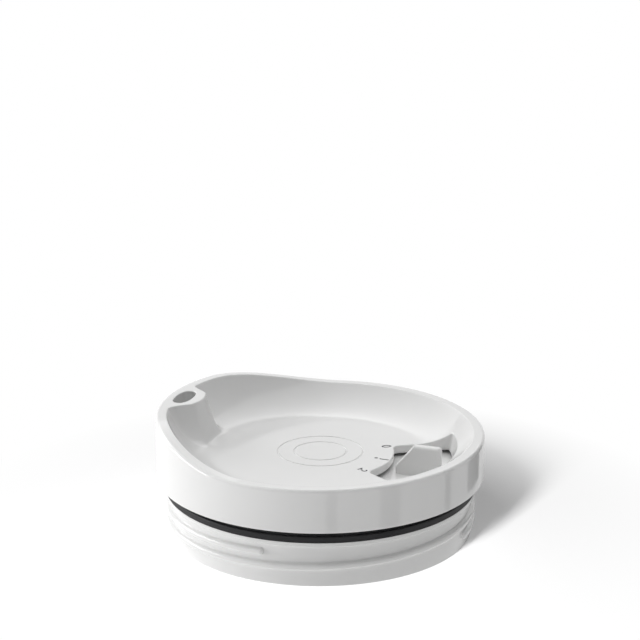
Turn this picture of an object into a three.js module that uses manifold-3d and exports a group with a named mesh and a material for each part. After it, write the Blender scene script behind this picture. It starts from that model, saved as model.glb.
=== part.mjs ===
import * as THREE from 'three';
import { mergeVertices } from 'three/addons/utils/BufferGeometryUtils.js';
import Module from 'manifold-3d';

// Screw-in lid for an insulated tumbler, with a turning selector under its dish. A thumb lever
// stands up through an arc slot and turns the selector between shut, sip and straw.
// Millimetres, +Z up. The origin is on the lid's axis at the bottom of the threaded skirt. The
// lever points along +X, and the spout lies opposite, within a few degrees of -X.

// Skirt, flange and seal groove, stacked up from the bottom
const threadRootRadius = 46.2;
const skirtWall = 2;
const skirtHeight = 12.5;
const skirtEdge = 0.3;
const flangeOverhang = 1.15;
const flangeThickness = 1.3;
const flangeFillet = 0.35;
const grooveInset = 0.5;
const grooveHeight = 4;
const groovePocket = 0.3;
const gasketLip = 1.9;
const gasketNeckInset = 1;

// Screw thread, two starts
const threadStarts = 2;
const threadLead = 7.8;
const threadTurn = 274;
const threadFirstStart = -4;
const threadFirstHeight = 3.8;
const threadDepth = 1.2;
const threadHalfWidth = 1.15;
const threadBite = 0.8;
const threadTaper = 2;
const threadEndShare = 0.5;

// Outer band and its rim, which rises round the spout
const bandOverhang = 3.8;
const bandLowHeight = 13;
const bandRise = 6.4;
const bandEdge = 0.4;
const riseFrom = 80;
const riseTo = 25;
const rimWidth = 3.4;
const rimOuterFillet = 1;
const rimInnerFillet = 0.5;

// Dish inside the rim
const dishDepth = 6.7;
const dishWallRun = 16.6;
const floorThickness = 2;
const dishPower = 2.3;
const risePower = 5;

// Spout: a boss on the rim's inner side, and the passage through it, which is widest between
// its mouth and its throat
const spoutAngle = 183;
const bossReach = 8.4;
const bossLean = 2.8;
const bossFootFillet = 1.8;
const bossFullAngle = 7;
const bossEndAngle = 15;
const bossCrown = 0.09;
const mouthInset = 5.65;
const mouthHalfWidth = 2.7;
const mouthHalfLength = 5.9;
const throatHalfWidth = 3.1;
const throatHalfLength = 5.3;
const lensPower = 2.8;
const chamberFloorRise = 5.2;
const chamberFootRise = 1.4;

// Selector disc and its seals
const runningGap = 0.3;
const sealSpace = 1.6;
const selectorThickness = 2.2;
const selectorRimDepth = 1.5;
const selectorRimWidth = 2;
const swing = 27;
const sipHalfWidth = 2.3;
const sipHalfLength = 4.6;
const sealWidth = 1.2;
const sealLip = 0.6;
const lipHeight = 0.9;
const channelWall = 1.5;

// Thumb lever and the arc slot that it stands in
const slotLength = 17.7;
const slotCorner = 2;
const slotLipInset = 0.4;
const leverInnerGap = 2;
const leverOuterGap = 0.9;
const leverThickness = 2.9;
const leverBelowRim = 1;
const leverKneeHeight = 2.5;
const leverSlopeRun = 6;
const leverCorner = 0.8;
const leverBevel = 0.4;

// Pivot post, and the cap that snaps on below the selector's hub
const postRadius = 4;
const postBead = 0.4;
const hubRadius = 8;
const hubDepth = 2.3;
const capRadius = 7.5;
const capFlange = 1.5;
const capWall = 1.9;
const capFloor = 1.3;

// Finishes
const whitePlastic = { color: 0xf0f0ee, roughness: 0.22, metalness: 0 };
const innerPlastic = { color: 0xe9e9e7, roughness: 0.3, metalness: 0 };
const blackSilicone = { color: 0x202020, roughness: 0.6, metalness: 0 };

// Fineness of the round shapes
const spoutStep = 2;
const ringStep = 7.8;
const spoutSpan = 24;
const lensSteps = 28;
const discSegments = 60;
const sealSegments = 60;
const wallPoints = 8;
const undersidePoints = 4;
const curveSteps = 6;
const finestDetail = 0.01;

// Sizes that follow from the ones above
const skirtInnerRadius = threadRootRadius - skirtWall;
const flangeRadius = threadRootRadius + flangeOverhang;
const grooveRadius = threadRootRadius - grooveInset;
const gasketNeck = flangeRadius - gasketNeckInset;
const bandRadius = threadRootRadius + bandOverhang;
const grooveFloor = skirtHeight + flangeThickness;
const seatHeight = grooveFloor + grooveHeight;
const lowRim = seatHeight + bandLowHeight;
const highRim = lowRim + bandRise;
const rimInnerRadius = bandRadius - rimWidth;
const dishFloorRadius = rimInnerRadius - dishWallRun;
const bossTopRadius = rimInnerRadius - bossReach;
const bossFootRadius = bossTopRadius - bossLean;
const dishFloor = lowRim - dishDepth;
const floorUnderside = dishFloor - floorThickness;
const selectorTop = floorUnderside - sealSpace;
const selectorUnderside = selectorTop - selectorThickness;
const selectorRadius = skirtInnerRadius - runningGap;
const sealReach = sealLip + runningGap + sealWidth + runningGap;
const lipBottom = floorUnderside - lipHeight;
const slotOuterRadius = selectorRadius - sealReach - slotLipInset - leverOuterGap;
const slotInnerRadius = slotOuterRadius - slotLength;
const leverInnerRadius = slotInnerRadius + leverInnerGap;
const leverOuterRadius = slotOuterRadius - leverOuterGap;
const leverTop = lowRim - leverBelowRim;
const stopHalfWidth = leverThickness / 2 + runningGap;
const slotHalfAngle = THREE.MathUtils.degToRad(swing) + Math.asin(stopHalfWidth / leverInnerRadius);
const throatRadius = selectorRadius - sealReach - throatHalfWidth;
const mouthRadius = bandRadius - mouthInset;
const hubBottom = selectorUnderside - hubDepth;
const capTop = hubBottom - runningGap;
const postBottom = capTop - capFlange;

const wasm = await Module();
wasm.setup();

// A closed solid from a geometry: only positions are kept, and triangles that a merge has
// folded to a line are dropped.
function solid(geometry) {
  const bare = geometry.clone();
  bare.deleteAttribute('normal');
  bare.deleteAttribute('uv');
  const merged = mergeVertices(bare, 1e-4);
  const corners = merged.index.array;
  const kept = [];
  for (let i = 0; i < corners.length; i += 3) {
    const [a, b, c] = [corners[i], corners[i + 1], corners[i + 2]];
    if (a !== b && b !== c && c !== a) kept.push(a, b, c);
  }
  return new wasm.Manifold(new wasm.Mesh({
    numProp: 3,
    vertProperties: new Float32Array(merged.attributes.position.array),
    triVerts: new Uint32Array(kept),
  }));
}

function namedMesh(name, body, finish) {
  const result = body.simplify(finestDetail).getMesh();
  const geometry = new THREE.BufferGeometry();
  geometry.setAttribute('position', new THREE.BufferAttribute(result.vertProperties, 3));
  geometry.setIndex(new THREE.BufferAttribute(result.triVerts, 1));
  geometry.computeVertexNormals();
  const mesh = new THREE.Mesh(geometry, new THREE.MeshStandardMaterial(finish));
  mesh.name = name;
  return mesh;
}

// A body of revolution about +Z whose profile may change with the angle. Each profile is a
// list of (radius, height) points that runs up the outside.
function revolved(profileAt, angles) {
  const count = profileAt(angles[0]).length;
  const lathe = new THREE.LatheGeometry(profileAt(angles[0]), angles.length - 1);
  const position = lathe.attributes.position;
  angles.forEach((angle, i) => {
    const turn = THREE.MathUtils.degToRad(angle);
    profileAt(angle).forEach((point, j) => {
      position.setXYZ(i * count + j, point.x * Math.cos(turn), point.x * Math.sin(turn), point.y);
    });
  });
  return solid(lathe);
}

function evenAngles(segments) {
  return Array.from({ length: segments + 1 }, (unused, i) => (360 * (i % segments)) / segments);
}

// Angles round the lid, closer together over the spout
function lidAngles() {
  const angles = [];
  const ringCount = Math.round((360 - 2 * spoutSpan) / ringStep);
  const spoutCount = Math.round((2 * spoutSpan) / spoutStep);
  for (let i = 0; i < ringCount; i += 1) {
    angles.push(spoutAngle + spoutSpan + (i * (360 - 2 * spoutSpan)) / ringCount);
  }
  for (let i = 0; i < spoutCount; i += 1) {
    angles.push(spoutAngle - spoutSpan + (i * 2 * spoutSpan) / spoutCount);
  }
  angles.push(angles[0]);
  return angles;
}

function points(...pairs) {
  return pairs.map(([radius, height]) => new THREE.Vector2(radius, height));
}

function ring(profile, segments) {
  return revolved(() => [...profile, profile[0]], evenAngles(segments));
}

function prism(shape, bottom, top) {
  const geometry = new THREE.ExtrudeGeometry(shape, {
    depth: top - bottom,
    bevelEnabled: false,
    curveSegments: curveSteps,
  });
  geometry.translate(0, 0, bottom);
  return solid(geometry);
}

function fromSpout(angle) {
  const turn = Math.abs(angle - spoutAngle) % 360;
  return Math.min(turn, 360 - turn);
}

function rimHeight(angle) {
  return highRim - bandRise * THREE.MathUtils.smoothstep(fromSpout(angle), riseTo, riseFrom);
}

// How far the boss stands out from the dish wall: a crowned nose with hollow sides
function bossShare(angle) {
  const turn = fromSpout(angle);
  const crown = 1 - bossCrown * (turn / bossFullAngle) ** 2;
  return crown * (1 - THREE.MathUtils.smoothstep(turn, bossFullAngle, bossEndAngle));
}

// Height of the dish wall at a radius, where the rim has the given height
function dishHeight(radius, rim) {
  const share = (radius - dishFloorRadius) / (rimInnerRadius - dishFloorRadius);
  const t = THREE.MathUtils.clamp(share, 0, 1);
  return dishFloor + dishDepth * t ** dishPower + (rim - lowRim) * t ** risePower;
}

// Height at a depth below the dish wall, measured square to its slope
function heightInWall(radius, rim, depth) {
  const step = 0.1;
  const slope = (dishHeight(radius, rim) - dishHeight(radius - step, rim)) / step;
  return dishHeight(radius, rim) - depth * Math.hypot(1, slope);
}

// Points from the dish floor's edge out to a radius, at a depth below the dish wall
function lineInWall(toRadius, rim, depth) {
  return Array.from({ length: undersidePoints + 1 }, (unused, i) => {
    const radius = THREE.MathUtils.lerp(dishFloorRadius, toRadius, i / undersidePoints);
    return new THREE.Vector2(radius, heightInWall(radius, rim, depth));
  });
}

// The dish wall from the rim down to the flat floor, plain and over the spout's boss
function dishWall(angle) {
  const rim = rimHeight(angle);
  const share = bossShare(angle);
  const boss = new THREE.Path();
  boss.moveTo(bossTopRadius, rim - rimInnerFillet);
  boss.lineTo(bossFootRadius + 0.1 * bossFootFillet, dishFloor + bossFootFillet);
  boss.quadraticCurveTo(bossFootRadius, dishFloor, bossFootRadius - bossFootFillet, dishFloor);
  boss.lineTo(dishFloorRadius, dishFloor);
  const bossPoints = boss.getSpacedPoints(wallPoints);
  return bossPoints.map((onBoss, i) => {
    const radius = rimInnerRadius - ((rimInnerRadius - dishFloorRadius) * i) / wallPoints;
    const height = Math.min(dishHeight(radius, rim), rim - rimInnerFillet);
    return new THREE.Vector2(radius, height).lerp(onBoss, share);
  });
}

// Section through the band's top edge: outer fillet, flat rim and inner fillet
function rimSection(angle) {
  const rim = rimHeight(angle);
  const inner = THREE.MathUtils.lerp(rimInnerRadius, bossTopRadius, bossShare(angle));
  const section = [];
  for (let i = 0; i <= 3; i += 1) {
    const turn = (i * Math.PI) / 6;
    section.push(new THREE.Vector2(
      bandRadius - rimOuterFillet * (1 - Math.cos(turn)),
      rim - rimOuterFillet * (1 - Math.sin(turn)),
    ));
  }
  section.push(...points(
    [inner + rimInnerFillet, rim],
    [inner + 0.3 * rimInnerFillet, rim - 0.3 * rimInnerFillet],
  ));
  return section;
}

// Half section of the moulded lid, from the pivot post round the skirt and band to the dish
function lidSection(angle) {
  return [
    ...points(
      [0, postBottom],
      [postRadius - postBead, postBottom],
      [postRadius, postBottom + postBead],
      [postRadius + postBead, postBottom + 2 * postBead],
      [postRadius, postBottom + 3 * postBead],
      [postRadius, floorUnderside],
    ),
    ...lineInWall(skirtInnerRadius, rimHeight(angle), floorThickness),
    ...points(
      [skirtInnerRadius, skirtEdge],
      [skirtInnerRadius + skirtEdge, 0],
      [threadRootRadius - skirtEdge, 0],
      [threadRootRadius, skirtEdge],
      [threadRootRadius, skirtHeight - flangeFillet],
      [threadRootRadius + flangeFillet, skirtHeight],
      [flangeRadius - flangeFillet, skirtHeight],
      [flangeRadius, skirtHeight + flangeFillet],
      [flangeRadius, grooveFloor],
      [grooveRadius, grooveFloor],
      [grooveRadius, seatHeight + groovePocket],
      [gasketNeck + runningGap, seatHeight + groovePocket],
      [gasketNeck + runningGap, seatHeight],
      [bandRadius - bandEdge, seatHeight],
      [bandRadius, seatHeight + bandEdge],
    ),
    ...rimSection(angle),
    ...dishWall(angle),
    new THREE.Vector2(0, dishFloor),
  ];
}

// All that lies below the middle of the dish wall, to trim what is added under the dish
function belowMidWall() {
  const depth = floorThickness / 2;
  return revolved((angle) => [
    ...points([0, selectorTop], [rimInnerRadius, selectorTop]),
    ...lineInWall(rimInnerRadius, rimHeight(angle), depth).reverse(),
    new THREE.Vector2(0, dishFloor - depth),
  ], lidAngles());
}

// One thread ridge: a rounded section swept round the skirt as it climbs, blunt at both ends
function threadRidge(startAngle) {
  const steps = Math.round((threadTurn - 2 * threadTaper) / ringStep);
  const fullTurn = (threadTurn - 2 * threadTaper) / steps;
  const stations = [0, threadTaper / 2];
  for (let i = 0; i <= steps; i += 1) stations.push(threadTaper + i * fullTurn);
  stations.push(threadTurn - threadTaper / 2, threadTurn);
  const ridge = new THREE.CylinderGeometry(1, 1, 1, 8, stations.length - 1);
  ridge.rotateX(Math.PI / 2);
  const position = ridge.attributes.position;
  const middle = (threadDepth - threadBite) / 2;
  const reach = (threadDepth + threadBite) / 2;
  for (let i = 0; i < position.count; i += 1) {
    const along = stations[Math.round((position.getZ(i) + 0.5) * (stations.length - 1))];
    const toEnd = Math.min(along, threadTurn - along) / threadTaper;
    const size = THREE.MathUtils.lerp(threadEndShare, 1, Math.sin(Math.min(toEnd, 1) * Math.PI / 2));
    const radius = threadRootRadius + size * (middle + reach * position.getX(i));
    const turn = THREE.MathUtils.degToRad(startAngle + along);
    const climb = threadFirstHeight + (along * threadLead) / 360;
    position.setXYZ(
      i,
      radius * Math.cos(turn),
      radius * Math.sin(turn),
      climb - size * threadHalfWidth * position.getY(i),
    );
  }
  return solid(ridge);
}

// Outline of the arc slot, widened by an offset on all sides
function slotOutline(offset = 0) {
  const inner = slotInnerRadius - offset;
  const outer = slotOuterRadius + offset;
  const corner = slotCorner + offset;
  const side = (radius) => slotHalfAngle + Math.asin(offset / radius);
  const at = (radius, angle) => [radius * Math.cos(angle), radius * Math.sin(angle)];
  const innerEnd = side(inner) - corner / inner;
  const outerEnd = side(outer) - corner / outer;
  const shape = new THREE.Shape();
  shape.absarc(0, 0, outer, -outerEnd, outerEnd, false);
  shape.quadraticCurveTo(...at(outer, side(outer)), ...at(outer - corner, side(outer - corner)));
  shape.lineTo(...at(inner + corner, side(inner + corner)));
  shape.quadraticCurveTo(...at(inner, side(inner)), ...at(inner, innerEnd));
  shape.absarc(0, 0, inner, innerEnd, -innerEnd, true);
  shape.quadraticCurveTo(...at(inner, -side(inner)), ...at(inner + corner, -side(inner + corner)));
  shape.lineTo(...at(outer - corner, -side(outer - corner)));
  shape.quadraticCurveTo(...at(outer, -side(outer)), ...at(outer, -outerEnd));
  return shape;
}

// A point of a lens-shaped outline that is centred at a radius on the spout's side
function lensPoint(turn, radius, halfWidth, halfLength) {
  const bulge = (value) => Math.sign(value) * Math.abs(value) ** (2 / lensPower);
  const point = new THREE.Vector2(
    radius + halfWidth * bulge(Math.cos(turn)),
    halfLength * bulge(Math.sin(turn)),
  );
  return point.rotateAround(new THREE.Vector2(), THREE.MathUtils.degToRad(spoutAngle));
}

function lensOutline(radius, halfWidth, halfLength, offset = 0) {
  return new THREE.Shape(Array.from({ length: lensSteps }, (unused, i) => (
    lensPoint((i * 2 * Math.PI) / lensSteps, radius, halfWidth + offset, halfLength + offset)
  )));
}

function throatOutline(offset = 0) {
  return lensOutline(throatRadius, throatHalfWidth, throatHalfLength, offset);
}

// Section of the passage at a height. Its inner wall leans like the boss. Its outer wall drops
// from the mouth and then slopes in to the throat.
function passageStation(height) {
  const t = (height - lipBottom) / (highRim - lipBottom);
  const throatOuter = throatRadius + throatHalfWidth;
  const inner = THREE.MathUtils.lerp(
    throatRadius - throatHalfWidth,
    mouthRadius - mouthHalfWidth,
    Math.max(t, 0),
  );
  const drop = THREE.MathUtils.clamp(
    (height - lipBottom - chamberFootRise) / (chamberFloorRise - chamberFootRise), 0, 1);
  const outer = THREE.MathUtils.lerp(throatOuter, mouthRadius + mouthHalfWidth, drop);
  const halfLength = THREE.MathUtils.lerp(throatHalfLength, mouthHalfLength, Math.max(t, 0));
  return [(inner + outer) / 2, (outer - inner) / 2, halfLength];
}

// The passage from the rim down to the selector, carried on past both ends
function passage() {
  const heights = [
    lipBottom - 1,
    lipBottom,
    lipBottom + chamberFootRise,
    lipBottom + chamberFloorRise,
    highRim,
    highRim + 1,
  ];
  const tube = new THREE.CylinderGeometry(1, 1, 1, lensSteps, heights.length - 1);
  tube.rotateX(Math.PI / 2);
  const position = tube.attributes.position;
  for (let i = 0; i < position.count; i += 1) {
    const height = heights[Math.round((position.getZ(i) + 0.5) * (heights.length - 1))];
    const reach = Math.hypot(position.getX(i), position.getY(i));
    const turn = Math.atan2(position.getY(i), position.getX(i));
    const [centre, halfWidth, halfLength] = passageStation(height);
    const point = lensPoint(turn, centre, reach * halfWidth, reach * halfLength);
    position.setXYZ(i, point.x, point.y, height);
  }
  return solid(tube);
}

// A seal that follows an outline, outside the lip that surrounds the opening
function sealRing(outlineAt, lipInset) {
  const inner = lipInset + sealLip + runningGap;
  const shape = outlineAt(inner + sealWidth);
  shape.holes.push(outlineAt(inner));
  return prism(shape, selectorTop + runningGap, floorUnderside - runningGap);
}

// The channel under the floor that holds such a seal
function sealChannel(outlineAt, lipInset) {
  const shape = outlineAt(lipInset + sealReach);
  shape.holes.push(outlineAt(lipInset + sealLip));
  return prism(shape, lipBottom - 1, floorUnderside);
}

function lidBody() {
  const trim = belowMidWall();
  const slotReach = slotLipInset + sealReach + channelWall;
  const slotBlock = prism(slotOutline(slotReach), lipBottom, highRim).intersect(trim);
  const spoutBlock = prism(throatOutline(sealReach + channelWall), lipBottom, highRim);
  let body = revolved(lidSection, lidAngles());
  for (let i = 0; i < threadStarts; i += 1) {
    body = body.add(threadRidge(threadFirstStart + (i * 360) / threadStarts));
  }
  return body
    .add(slotBlock)
    .add(spoutBlock.intersect(trim))
    .subtract(sealChannel(slotOutline, slotLipInset))
    .subtract(sealChannel(throatOutline, 0))
    .subtract(prism(slotOutline(slotLipInset), lipBottom - 1, floorUnderside))
    .subtract(prism(slotOutline(), floorUnderside - 1, highRim + 1))
    .subtract(passage());
}

function gasket() {
  const inner = grooveRadius + runningGap;
  const lipTop = grooveFloor + gasketLip;
  const top = seatHeight + groovePocket - runningGap;
  return ring(points(
    [inner, grooveFloor],
    [flangeRadius - flangeFillet, grooveFloor],
    [flangeRadius, grooveFloor + flangeFillet],
    [flangeRadius, lipTop - flangeFillet],
    [flangeRadius - flangeFillet, lipTop],
    [gasketNeck, lipTop + flangeFillet],
    [gasketNeck, top],
    [inner, top],
  ), sealSegments);
}

// Thumb lever: a plate on the selector's radius with a sloped inner edge
function lever() {
  const foot = selectorTop - selectorThickness / 2;
  const knee = selectorTop + leverKneeHeight;
  const inner = leverInnerRadius + leverBevel;
  const outer = leverOuterRadius - leverBevel;
  const top = leverTop - leverBevel;
  const outline = new THREE.Shape();
  outline.moveTo(inner, foot);
  outline.lineTo(outer, foot);
  outline.lineTo(outer, top - leverCorner);
  outline.quadraticCurveTo(outer, top, outer - leverCorner, top);
  outline.lineTo(inner + leverSlopeRun, top);
  outline.lineTo(inner, knee);
  const plate = new THREE.ExtrudeGeometry(outline, {
    depth: leverThickness - 2 * leverBevel,
    bevelThickness: leverBevel,
    bevelSize: leverBevel,
    bevelSegments: 2,
    curveSegments: 4,
  });
  plate.rotateX(Math.PI / 2);
  plate.translate(0, leverThickness / 2 - leverBevel, 0);
  return solid(plate);
}

// The selector: a disc with a hub, a stiffening rim, two ports and the thumb lever. The sip
// port is under the spout at rest, and the straw port comes there when the lever goes to -Y.
function selector() {
  const bore = postRadius + runningGap;
  const rimBottom = selectorUnderside - selectorRimDepth;
  const edge = 0.4;
  const disc = ring(points(
    [bore, hubBottom],
    [hubRadius, hubBottom],
    [hubRadius, selectorUnderside],
    [selectorRadius - selectorRimWidth, selectorUnderside],
    [selectorRadius - selectorRimWidth, rimBottom],
    [selectorRadius - edge, rimBottom],
    [selectorRadius, rimBottom + edge],
    [selectorRadius, selectorTop - edge],
    [selectorRadius - edge, selectorTop],
    [bore, selectorTop],
  ), discSegments);
  const from = rimBottom - 1;
  const to = selectorTop + 1;
  const sipPort = prism(lensOutline(throatRadius, sipHalfWidth, sipHalfLength), from, to);
  const strawPort = prism(throatOutline(), from, to).rotate([0, 0, swing]);
  return disc.subtract(sipPort).subtract(strawPort).add(lever());
}

// The cap that snaps over the post's bead and carries the selector
function hubCap() {
  const bore = postRadius + runningGap;
  const boreFloor = postBottom - runningGap;
  const bottom = boreFloor - capFloor;
  const outer = bore + capWall;
  return revolved(() => points(
    [0, bottom],
    [outer - postBead, bottom],
    [outer, bottom + postBead],
    [outer, capTop - capFlange],
    [capRadius, capTop - capFlange],
    [capRadius, capTop],
    [bore, capTop],
    [bore, postBottom + 3.5 * postBead],
    [bore + postBead, postBottom + 2.5 * postBead],
    [bore + postBead, postBottom + 1.5 * postBead],
    [bore, postBottom + 0.5 * postBead],
    [bore, boreFloor],
    [0, boreFloor],
  ), evenAngles(32));
}

const lid = new THREE.Group();
lid.add(
  namedMesh('lid_body', lidBody(), whitePlastic),
  namedMesh('lid_gasket', gasket(), blackSilicone),
  namedMesh('selector', selector(), whitePlastic),
  namedMesh('slot_seal', sealRing(slotOutline, slotLipInset), blackSilicone),
  namedMesh('spout_seal', sealRing(throatOutline, 0), blackSilicone),
  namedMesh('hub_cap', hubCap(), innerPlastic),
);

export default lid;
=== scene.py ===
"""Dresses the tumbler lid: its fine meshes, finishes, studio and camera."""
import math

import bmesh
import bpy
from mathutils import Euler, Matrix, Quaternion, Vector


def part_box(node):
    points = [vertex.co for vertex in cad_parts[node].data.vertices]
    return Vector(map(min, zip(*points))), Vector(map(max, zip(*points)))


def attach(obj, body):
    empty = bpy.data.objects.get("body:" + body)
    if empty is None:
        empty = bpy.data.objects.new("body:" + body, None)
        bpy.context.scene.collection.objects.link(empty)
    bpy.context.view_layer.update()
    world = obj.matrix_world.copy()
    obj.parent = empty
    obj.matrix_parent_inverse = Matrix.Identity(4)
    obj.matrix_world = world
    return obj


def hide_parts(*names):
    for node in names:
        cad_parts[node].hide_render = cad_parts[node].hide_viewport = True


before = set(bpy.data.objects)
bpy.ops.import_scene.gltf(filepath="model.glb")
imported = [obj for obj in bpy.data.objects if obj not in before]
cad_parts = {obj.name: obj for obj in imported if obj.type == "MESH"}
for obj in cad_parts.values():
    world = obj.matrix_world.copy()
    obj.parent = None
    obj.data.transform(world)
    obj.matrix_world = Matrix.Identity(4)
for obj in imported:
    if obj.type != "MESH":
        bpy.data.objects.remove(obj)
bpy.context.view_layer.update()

bl_info = {
    "name": "Tumbler lid",
    "version": (1, 0, 0),
    "blender": (4, 5, 0),
    "location": "View3D > Sidebar > Lid",
    "description": "Models and finishes a screw-in tumbler lid with a turning selector",
    "category": "Add Mesh",
}

MM = 0.001
LID_BODY = "lid"
SELECTOR_BODY = "selector"

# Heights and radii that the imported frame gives, in millimetres
BODY_LOW, BODY_HIGH = (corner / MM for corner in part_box("lid_body"))
SELECTOR_LOW, SELECTOR_HIGH = (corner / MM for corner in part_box("selector"))
CAP_LOW, CAP_HIGH = (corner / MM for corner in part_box("hub_cap"))

# Skirt, flange and seal groove
THREAD_ROOT = 46.2
SKIRT_WALL = 2.0
SKIRT_HEIGHT = 12.5
SKIRT_EDGE = 0.3
FLANGE_RADIUS = 47.35
FLANGE_THICKNESS = 1.3
FLANGE_FILLET = 0.35
GROOVE_RADIUS = 45.7
GROOVE_HEIGHT = 4.0
GROOVE_POCKET = 0.3
GASKET_LIP = 1.9
GASKET_NECK = 46.35
GASKET_EDGE = 0.4
GASKET_FILLET = 0.3
GASKET_CORNER = 0.2

# Two-start thread
THREAD_STARTS = 2
THREAD_LEAD = 7.8
THREAD_TURN = 274
THREAD_FIRST_START = -4
THREAD_FIRST_HEIGHT = 3.8
THREAD_TAPER = 1.2
THREAD_END_SIZE = 0.3
THREAD_STEPS = 120

# Half of a ridge's section, along the skirt and out from it, from its foot to its crest
THREAD_HALF_SECTION = (
    (-0.9, -0.9), (-1.42, -0.08), (-1.2, 0.05), (-1.06, 0.28), (-0.97, 0.62),
    (-0.86, 0.92), (-0.64, 1.12), (-0.32, 1.19), (0.0, 1.2),
)

# Band and rim
BAND_RADIUS = -BODY_LOW.x
BAND_RISE = 6.4
BAND_EDGE = 0.4
RISE_FROM = 80
RISE_TO = 25
RIM_WIDTH = 3.4
RIM_OUTER_FILLET = 1.0
RIM_INNER_FILLET = 0.5

# Dish
DISH_DEPTH = 6.7
DISH_FLOOR_RADIUS = 30
FLOOR_THICKNESS = 2.0
DISH_POWER = 2.3
RISE_POWER = 5

# Spout
SPOUT_ANGLE = 183
BOSS_TOP_RADIUS = 38.2
BOSS_FOOT_RADIUS = 35.4
BOSS_FOOT_FILLET = 1.2
BOSS_FULL_ANGLE = 8
BOSS_END_ANGLE = 15
BOSS_CROWN = 0.19
MOUTH_INSET = 5.65
MOUTH_HALF_WIDTH = 2.7
MOUTH_HALF_LENGTH = 5.9
THROAT_HALF_WIDTH = 3.1
THROAT_HALF_LENGTH = 5.3
LENS_POWER = 2.3
CHAMBER_FLOOR_RISE = 5.2
CHAMBER_FOOT_RISE = 1.4
SPOUT_SPAN = 20

# Selector, seals, slot and lever
RUNNING_GAP = 0.3
SEAL_SPACE = 1.6
SELECTOR_THICKNESS = 2.2
SELECTOR_RIM_DEPTH = 1.5
SELECTOR_RIM_WIDTH = 2.0
SELECTOR_EDGE = 0.4
SWING = 27
SIP_HALF_WIDTH = 2.3
SIP_HALF_LENGTH = 4.6
SEAL_WIDTH = 1.2
SEAL_LIP = 0.6
SEAL_EDGE = 0.15
LIP_HEIGHT = 0.9
CHANNEL_WALL = 1.5
SLOT_INNER_RADIUS = 22.5
SLOT_CORNER = 2.6
SLOT_OUTER_CORNER = 1.0
SLOT_LIP_INSET = 0.4
SLOT_RECESS = 0.5
SLOT_LIP_FOOT = 0.9
SLOT_LIP_EXTRA = 0.15
SLOT_OUTER_LEAN = 1.4
LEVER_INNER_GAP = 2.0
LEVER_OUTER_GAP = 0.9
LEVER_THICKNESS = 2.9
LEVER_KNEE_HEIGHT = 2.5
LEVER_SLOPE_RUN = 5.6
LEVER_BEND = 0.25
LEVER_BEND_DROP = 0.07
LEVER_CORNER = 1.1
LEVER_INNER_ROUND = 0.7
LEVER_SETBACK = 0.6

# Pivot post and cap
POST_RADIUS = 4.0
POST_BEAD = 0.4
HUB_RADIUS = 8.0
CAP_RADIUS = 7.5
CAP_FLANGE = 1.5
CAP_WALL = 1.9
CAP_FOOT = 1.2
CAP_FOOT_EDGE = 0.5
CAP_LOW_EDGE = 0.3
CAP_TOP_EDGE = 0.2

# Sizes that follow
SKIRT_INNER = THREAD_ROOT - SKIRT_WALL
GROOVE_FLOOR = SKIRT_HEIGHT + FLANGE_THICKNESS
SEAT_HEIGHT = GROOVE_FLOOR + GROOVE_HEIGHT
HIGH_RIM = BODY_HIGH.z
LOW_RIM = HIGH_RIM - BAND_RISE
RIM_INNER = BAND_RADIUS - RIM_WIDTH
DISH_FLOOR = LOW_RIM - DISH_DEPTH
FLOOR_UNDERSIDE = DISH_FLOOR - FLOOR_THICKNESS
SELECTOR_TOP = FLOOR_UNDERSIDE - SEAL_SPACE
SELECTOR_UNDERSIDE = SELECTOR_TOP - SELECTOR_THICKNESS
SELECTOR_RADIUS = SKIRT_INNER - RUNNING_GAP
SEAL_REACH = SEAL_LIP + RUNNING_GAP + SEAL_WIDTH + RUNNING_GAP
LIP_BOTTOM = FLOOR_UNDERSIDE - LIP_HEIGHT
SLOT_OUTER_RADIUS = SELECTOR_RADIUS - SEAL_REACH - SLOT_LIP_INSET - LEVER_OUTER_GAP
LEVER_INNER = SLOT_INNER_RADIUS + LEVER_INNER_GAP
LEVER_OUTER = SLOT_OUTER_RADIUS - LEVER_OUTER_GAP
LEVER_REACH = LEVER_THICKNESS / 2 + RUNNING_GAP
SLOT_HALF_ANGLE = math.radians(SWING) + math.asin(LEVER_REACH / LEVER_INNER)
THROAT_RADIUS = SELECTOR_RADIUS - SEAL_REACH - THROAT_HALF_WIDTH
MOUTH_RADIUS = BAND_RADIUS - MOUTH_INSET
HUB_BOTTOM = SELECTOR_LOW.z
CAP_TOP = CAP_HIGH.z
POST_BOTTOM = CAP_TOP - CAP_FLANGE

# Marks that stand beside the slot, and the plain rings in the middle of the dish
MARK_RADIUS = 20.5
MARK_ANGLES = {"0": 31, "1": -1, "2": -32}
MARK_BOLDNESS = 0.09
DIGIT_SHARE = 0.72
DOT_RADIUS = 18.0
DOT_SECTION = ((0.62, 0.2), (0.6, 0.0), (0.5, -0.6), (0.3, -0.9))
RING_RADII = (8.0, 13.0)
RING_HALF_WIDTH = 0.34

# How an opening's rounded edge goes on across the surface, and how shading is smoothed
FLARE_REACH = 0.6
FLARE_SLOPE = math.tan(math.radians(14))
SMOOTH_ANGLE = math.radians(32)
SMOOTH_WEIGHT = 60


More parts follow.
